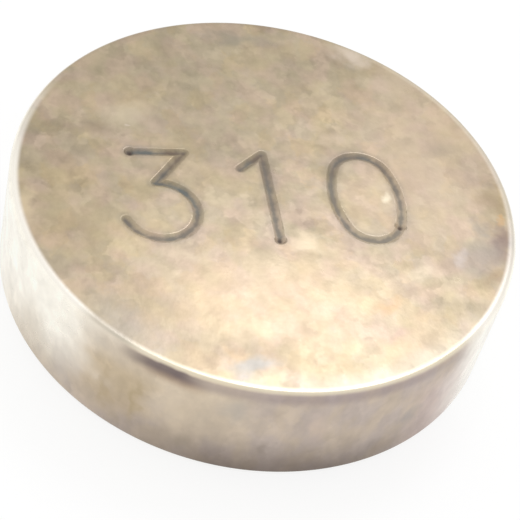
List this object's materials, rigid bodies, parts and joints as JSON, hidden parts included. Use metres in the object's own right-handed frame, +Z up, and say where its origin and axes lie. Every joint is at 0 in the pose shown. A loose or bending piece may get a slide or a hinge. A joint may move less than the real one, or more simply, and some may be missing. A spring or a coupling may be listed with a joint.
{
  "type": "valve shim",
  "caption": "Flat round steel disc that fills the gap between a cam and its bucket to set valve clearance, with its thickness engraved on one face.",
  "frame": {"origin": "centre of the underside", "axes": "+Z up through the disc's axis to the marked face, +X along the reading direction of the size mark"},
  "size_m": [0.013, 0.013, 0.0031],
  "materials": {
    "steel": "ground hardened steel, warm and lightly stained"
  },
  "bodies": {
    "root": {"valve_shim": "steel"}
  },
  "joints": []
}
